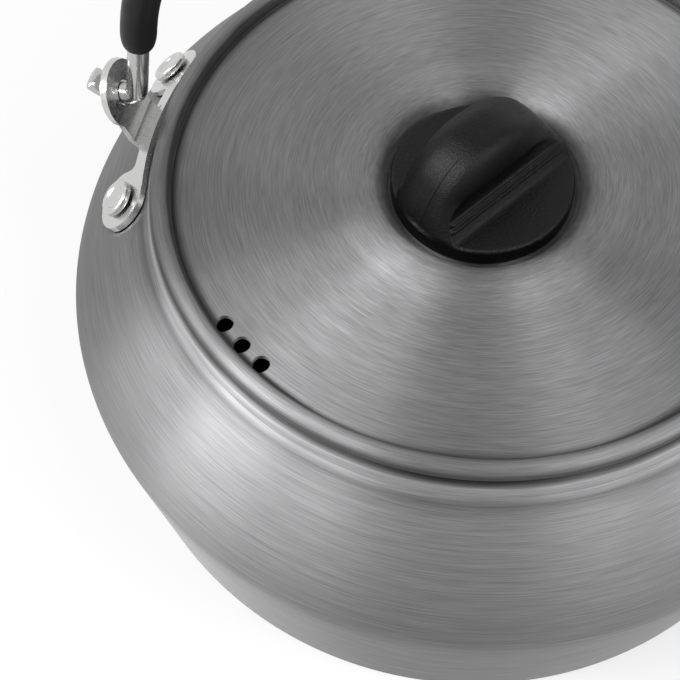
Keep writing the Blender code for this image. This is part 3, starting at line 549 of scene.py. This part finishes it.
# %% Lofted bars
def loft(name, line, radii, shapes=None, sides=32):
    """A round bar along points (across, up) in the plane x = 0. A shape is (width, height) of its ring."""
    points, faces = [], []
    for i, centre in enumerate(line):
        run = (line[min(i + 1, len(line) - 1)] - line[max(i - 1, 0)]).normalized()
        wide, high = shapes[i] if shapes else (1, 1)
        for k in range(sides):
            a = 2 * pi * k / sides
            lift = radii[i] * high * sin(a)
            points.append((radii[i] * wide * cos(a), centre.x - run.y * lift, centre.y + run.x * lift))
    for i in range(len(line) - 1):
        for k in range(sides):
            n = (k + 1) % sides
            faces.append((i * sides + k, i * sides + n, (i + 1) * sides + n, (i + 1) * sides + k))
    faces.append(tuple(range(sides))[::-1])
    faces.append(tuple(range((len(line) - 1) * sides, len(line) * sides)))
    return put(name, new_mesh(name, points, faces=faces))


def both_sides(half):
    """A half line and its mirror image on the far side of the top."""
    return half + [Vector((-p.x, p.y)) for p in half[:-1]][::-1]


print("an open line of 3 points becomes", len(both_sides([Vector((1, 0)), Vector((1, 1)), Vector((0, 2))])))

# %% The wire's middle line
HINGE_Y, HINGE_Z = 66.59, 71.0
WIRE_RADIUS = 1.95
ARCH_RISE = 70
LEG_LEAN = 9.3
LEAN = radians(LEG_LEAN)
EAR_TILT = radians(72)
TIP_RISE = 38
ELBOW = 2.2
FOOT = Vector((HINGE_Y - 2.95, 0))
ROUND_CENTRE = (ARCH_RISE - FOOT.x * cos(LEAN)) / (1 - sin(LEAN))
TIP_BEND = (HINGE_Y + 0.55 / sin(EAR_TILT) + WIRE_RADIUS / tan(EAR_TILT)
            + WIRE_RADIUS * tan(radians(TIP_RISE / 2)))
lift = Vector((cos(radians(TIP_RISE)), sin(radians(TIP_RISE))))
bend_at = Vector((TIP_BEND, 0))
corner = (pi / 2 + LEAN) / 2
elbow = arc(FOOT + Vector((ELBOW / tan(corner), ELBOW)), ELBOW, -90, -180 + LEG_LEAN, 12)
round_top = arc((0, ROUND_CENTRE), ARCH_RISE - ROUND_CENTRE, LEG_LEAN, 90, 40)
tip = [bend_at + lift * d for d in (4.4, 4.25, 3.9, 3.3, 2.7, 2.1, 1.5, 1.0)]
turn_up = [pull(bend_at + lift * 0.9, bend_at, bend_at - Vector((0.9, 0)), i / 6) for i in range(7)]
wire_line = both_sides([Vector((p.x, p.y + HINGE_Z)) for p in tip + turn_up + elbow + round_top])
print("arch top", round(max(p.y for p in wire_line), 1), "mm above the stove")

# %% Wire with pinched tips
def pinch(point):
    """Ring shape (width, height) of the wire at a point: flattened outside the ear."""
    share = min(1.0, max(0.0, (abs(point.x) - TIP_BEND) / WIRE_RADIUS))
    return 1 + 0.28 * share, 1 - 0.34 * share


shapes = [pinch(p) for p in wire_line]
radii = [WIRE_RADIUS] * len(wire_line)
for i, ease in enumerate((0.78, 0.93)):
    radii[i] = radii[-1 - i] = WIRE_RADIUS * ease
wire = loft("bail_wire_drawn", wire_line, radii, shapes)
dress(wire, DRAWN, "stainless_steel", "bail", "bail_wire", sharp=50)

# %% [markdown]
# The sleeve is a tube slid over the wire, so its ends are cut square with the rubber drawn in a
# little. It keeps the hand off the hot wire.

# %% Sleeve
SLEEVE_RADIUS = 3.15
SLEEVE_BORE = 2.25
SLEEVE_START = 14.6


def on_bail(height):
    """The middle of the wire at a height above the hinge."""
    leg_top = ROUND_CENTRE + (ARCH_RISE - ROUND_CENTRE) * sin(LEAN)
    if height < leg_top:
        return Vector((FOOT.x - height * tan(LEAN), height))
    return Vector((sqrt((ARCH_RISE - ROUND_CENTRE) ** 2 - (height - ROUND_CENTRE) ** 2), height))


low_end = [on_bail(SLEEVE_START + d) for d in (0, 0.12, 0.35, 0.7, 1.3, 2.1, 3.0)]
over = arc((0, ROUND_CENTRE), ARCH_RISE - ROUND_CENTRE, 10, 90, 40)
sleeve_line = both_sides([Vector((p.x, p.y + HINGE_Z)) for p in low_end + over])
drawn_in = [0.8, 0.87, 0.9, 0.925, 0.96, 0.985]
ease = drawn_in + [1.0] * (len(sleeve_line) - 2 * len(drawn_in)) + drawn_in[::-1]
sleeve = loft("bail_sleeve_tube", sleeve_line, [SLEEVE_RADIUS * e for e in ease])
bore_line = [sleeve_line[0] * 2 - sleeve_line[3], *sleeve_line, sleeve_line[-1] * 2 - sleeve_line[-4]]
bore = loft("sleeve_bore", bore_line, [SLEEVE_BORE] * len(bore_line), sides=24)
combine(sleeve, [bore])
dress(sleeve, SILICONE, "silicone", "bail", "bail_sleeve", sharp=60)

# %% [markdown]
# ## Sheet and small parts
# The spout, brackets, rivets and the knob's fixings have the right shape in the CAD model, but a
# real edge is never razor sharp. Their loose triangles are welded, flat areas are made whole, and a
# small bevel rolls each hard edge, which catches a thin line of light.

# %% Edges eased on the CAD's own shapes
def eased(name, node, edge):
    """A copy of a CAD node's shape, with a bevel of this many millimetres on its hard edges."""
    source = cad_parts[node].data
    mesh = bpy.data.meshes.new(name)
    mesh.from_pydata([v.co for v in source.vertices], [], [tuple(p.vertices) for p in source.polygons])
    work = bmesh.new()
    work.from_mesh(mesh)
    bmesh.ops.remove_doubles(work, verts=work.verts, dist=0.004 * MM)
    bmesh.ops.dissolve_limit(work, angle_limit=radians(1.0), verts=work.verts, edges=work.edges)
    work.to_mesh(mesh)
    work.free()
    piece = put(name, mesh)
    modify(piece, "BEVEL", width=edge * MM, segments=2, limit_method="ANGLE",
           angle_limit=radians(30), miter_outer="MITER_ARC")
    return settle(piece)


# Each row is a piece, its CAD node, its eased edge in mm, its finish, its slot and its body.
small_parts = [("spout_tube", "spout", 0.2, SPOUT_METAL, "anodised_aluminium", "kettle")]
for side in ("left", "right"):
    small_parts.append(("bracket_%s_sheet" % side, "bracket_" + side, 0.16, STAMPED,
                        "stainless_steel", "kettle"))
for place in ("left_front", "left_rear", "right_rear", "right_front"):
    small_parts.append(("rivet_%s_head" % place, "rivet_" + place, 0.12, STAMPED,
                        "stainless_steel", "kettle"))
small_parts += [("knob_nut", "knob_insert", 0.1, BRASS, "brass", "lid"),
                ("knob_washer_ring", "knob_washer", 0.1, STAMPED, "stainless_steel", "lid"),
                ("knob_screw_head", "knob_screw", 0.1, STAMPED, "stainless_steel", "lid")]
for name, node, edge, finish, slot, body in small_parts:
    dress(eased(name, node, edge), finish, slot, body, node, sharp=40)

# %% [markdown]
# ## The knob
# A moulded disc with an upright grip. The grip is a dome trimmed to a section with a hollow on
# each side for the fingers and a round brow above. The three solids are joined, and a voxel remesh
# gives them one skin with the soft inside corners that a mould has.

# %% Disc and grip
KNOB_BASE = 63.65
DISC_RADIUS = 16.3
DISC_HEIGHT = 3.5
disc_edge = arc((15.6, KNOB_BASE + 2.8), 0.7, 0, 90, 7)
disc_section = [Vector((0, KNOB_BASE)), Vector((DISC_RADIUS, KNOB_BASE)), *disc_edge,
                Vector((0, KNOB_BASE + DISC_HEIGHT))]
disc = turned("knob_disc", disc_section, 128, closed=False)


def hollow(foot, deepest, lip):
    """One side of the grip's section, from the foot's ridge over the hollow to the lip."""
    return [pull(Vector(foot), Vector(deepest), Vector(lip), i / 15) for i in range(16)]


def rib(line, i):
    """A thin rib on the hollow, moulded in so that fingers don't slip."""
    return [line[i], line[i] + Vector((0.5, 0.06)), line[i] + Vector((0.44, 0.42))]


near = hollow((7.3, 3.6), (3.3, 7.4), (4.9, 10.7))
near = near[:3] + rib(near, 3) + near[4:5] + rib(near, 5) + near[6:]
near = [Vector((7.9, 1.75)), Vector((7.9, 3.5))] + near + [Vector((12, 12.6)), Vector((12, 19))]
far = hollow((7.9, 3.85), (5.4, 5.6), (8.0, 8.0))
far = [Vector((7.9, 1.75))] + far + [Vector((12, 9.0)), Vector((12, 19))]
outline = [Vector((-p.x, p.y)) for p in near] + far[::-1]
points = [(x, y, KNOB_BASE + z) for y in (-20, 20) for x, z in outline]
count = len(outline)
faces = [tuple(range(count)), tuple(range(2 * count - 1, count - 1, -1))]
faces += [(i, i + count, (i + 1) % count + count, (i + 1) % count) for i in range(count)]
section = new_mesh("grip_section", points, faces=faces)
section.transform(Matrix.Rotation(radians(KNOB_TURN), 4, "Z"))
section = settle(put("grip_section", section))
print("the grip's section has", count, "points")

# %% [markdown]
# The dome is the grip's outside. It is an egg shape, narrower on its near side, and its flanks
# spread towards the foot. Its two ends stop just inside the disc's edge. Each point of a ball is
# pushed out along its own ray until it lies on that shape, which keeps the faces even.

# %% Dome
DOME_FOOT = 1.75
DOME_LENGTH, DOME_HEIGHT = 14.8, 14.6
NEAR_SIDE = (5.97, 7.5)
FAR_SIDE = (9.69, 1.1)
FLUSH = 16.15


def push_out(point):
    """Moves a point of a ball on to the dome. A side is its half width and its spread at the foot."""
    half, flare = NEAR_SIDE if point.x < 0 else FAR_SIDE
    within, beyond = 0.0, 24.0
    for _ in range(22):
        reach = (within + beyond) / 2
        x, y, z = point * reach
        spread = min(1.0, max(0.0, 1 - z / 8)) ** 1.5
        wide = half + flare * spread
        long = DOME_LENGTH + 1.6 * spread
        level = (abs(y) / long) ** 2.25 + (abs(x) / wide) ** 4 + (z / DOME_HEIGHT) ** 2
        if level < 1 and hypot(x, y) < FLUSH:
            within = reach
        else:
            beyond = reach
    return point * within * MM


dome = bpy.data.meshes.new("dome")
work = bmesh.new()
bmesh.ops.create_uvsphere(work, u_segments=160, v_segments=96, radius=1)
for vertex in work.verts:
    vertex.co = push_out(vertex.co)
work.to_mesh(dome)
work.free()
dome.transform(Matrix.Translation((0, 0, (KNOB_BASE + DOME_FOOT) * MM))
               @ Matrix.Rotation(radians(KNOB_TURN), 4, "Z"))
print("the dome has", len(dome.vertices), "points")

# %% Joined knob
BORE_RADIUS = 3.8
VOXEL = 0.18
grip = combine(put("knob_grip", dome), [section], "INTERSECT")
knob = combine(grip, [disc], "UNION")
combine(knob, [rod("knob_bore", BORE_RADIUS, 15.2, (0, 0, KNOB_BASE))])
knob.name = "knob_moulding"
modify(knob, "REMESH", mode="VOXEL", voxel_size=VOXEL * MM)
modify(knob, "SMOOTH", factor=0.5, iterations=2)
settle(knob)
dress(knob, PLASTIC, "moulded_plastic", "lid", "knob", sharp=60)

# %% [markdown]
# ## Floor, light and camera
# The kettle stands on a pale floor in a white studio. The camera and reflections see the
# background as plain white, and the floor still takes the kettle's shadow.

#
# The floor glows a little less under the kettle, so that its shadow shows there, and is plain white
# further out, so that it has no visible far edge.

# %% Floor
def seen_directly(tree):
    """1 for rays from the camera, reflections and glass, and 0 for light that falls on a surface."""
    path = add(tree, "ShaderNodeLightPath").outputs
    seen = add(tree, "ShaderNodeMath", {0: path["Is Camera Ray"], 1: path["Is Glossy Ray"]},
               operation="MAXIMUM")
    return add(tree, "ShaderNodeMath", {0: seen, 1: path["Is Transmission Ray"]}, operation="MAXIMUM")


def pale_floor():
    finish, tree = new_finish("pale_studio_floor")
    matte = add(tree, "ShaderNodeBsdfDiffuse", {"Color": linear("#EFEFEF")})
    glow = add(tree, "ShaderNodeEmission", {"Color": linear("#FFFFFF"), "Strength": 1.0})
    place = add(tree, "ShaderNodeTexCoord").outputs["Object"]
    away = add(tree, "ShaderNodeVectorMath", {0: place}, operation="LENGTH").outputs["Value"]
    most = reshape(tree, away, 150 * MM, 600 * MM, 0.72, 1.0)
    share = add(tree, "ShaderNodeMath", {0: seen_directly(tree), 1: most}, operation="MULTIPLY")
    finish_with(tree, add(tree, "ShaderNodeMixShader", {0: share, 1: matte, 2: glow}))
    return finish


FLOOR_HALF = 3000
corners = [(x * FLOOR_HALF, y * FLOOR_HALF, 0) for x, y in ((-1, -1), (1, -1), (1, 1), (-1, 1))]
floor = put("studio_floor", new_mesh("studio_floor", corners, faces=[(0, 1, 2, 3)]))
floor.data.materials.append(pale_floor())
print("floor", round(floor.dimensions.x, 1), "m wide")

# %% Background
AMBIENT = 0.2
world = bpy.data.worlds.new("white_studio")
bpy.context.scene.world = world
world.use_nodes = True
tree = world.node_tree
tree.nodes.clear()
level = add(tree, "ShaderNodeMapRange", {"Value": seen_directly(tree), "To Min": AMBIENT,
                                         "To Max": 1.0})
add(tree, "ShaderNodeOutputWorld", {"Surface": add(tree, "ShaderNodeBackground", {
    "Color": (1, 1, 1, 1), "Strength": level})})
print("the background is white to the eye and gives", AMBIENT, "of that as light")

# %% [markdown]
# Brushed metal shows each lamp as a bright fan, so the lamps are placed by the fans. Four stand over
# the kettle's +Y side for the broad left and front fans, and two over the other side for the right.

# %% Lamps
LAMP_DISTANCE = 0.9


def softbox(name, azimuth, elevation, size, power):
    """A square area lamp that faces the kettle. Azimuth 0 is over +X, 90 over +Y."""
    lamp = bpy.data.lights.new(name, "AREA")
    lamp.shape = "SQUARE"
    lamp.size = size
    lamp.energy = power
    holder = bpy.data.objects.new(name, lamp)
    bpy.context.scene.collection.objects.link(holder)
    way = Vector((cos(radians(azimuth)) * cos(radians(elevation)),
                  sin(radians(azimuth)) * cos(radians(elevation)), sin(radians(elevation))))
    holder.location = way * LAMP_DISTANCE + Vector((0, 0, 0.05))
    holder.rotation_euler = (-way).to_track_quat("-Z", "Y").to_euler()
    holder.visible_camera = False
    print(name, "gives", power, "W")


softbox("softbox_key", 122, 46, 0.26, 3.6)
softbox("softbox_front", 144, 58, 0.26, 2.2)
softbox("softbox_left", 100, 36, 0.26, 1.7)
softbox("softbox_left_low", 122, 24, 0.12, 0.6)
softbox("softbox_right", 255, 36, 0.26, 1.3)
softbox("softbox_right_high", 240, 60, 0.26, 1.5)

# %% [markdown]
# The camera looks down over the lid from close by. Its place was worked out from the circles of the
# bead, boss and knob, which all lie on one axis, and it is rolled a little about its own view.

# %% Camera
eye = Vector((-147.67, -15.15, 266.94)) * MM
target = Vector((-37.7, 16.4, 66.0)) * MM
back = (eye - target).normalized()
level_right = Vector((0, 0, 1)).cross(back).normalized()
roll = radians(-1.93)
right = level_right * cos(roll) + back.cross(level_right) * sin(roll)
stand = Matrix((right, back.cross(right), back)).transposed().to_4x4()
camera = bpy.data.objects.new("camera", bpy.data.cameras.new("camera"))
bpy.context.scene.collection.objects.link(camera)
camera.matrix_world = Matrix.Translation(eye) @ stand
camera.data.lens = 73.85
camera.data.clip_start = 0.01
bpy.context.scene.camera = camera
bpy.context.scene.view_settings.view_transform = "Standard"
print("camera right", [round(v, 4) for v in right])
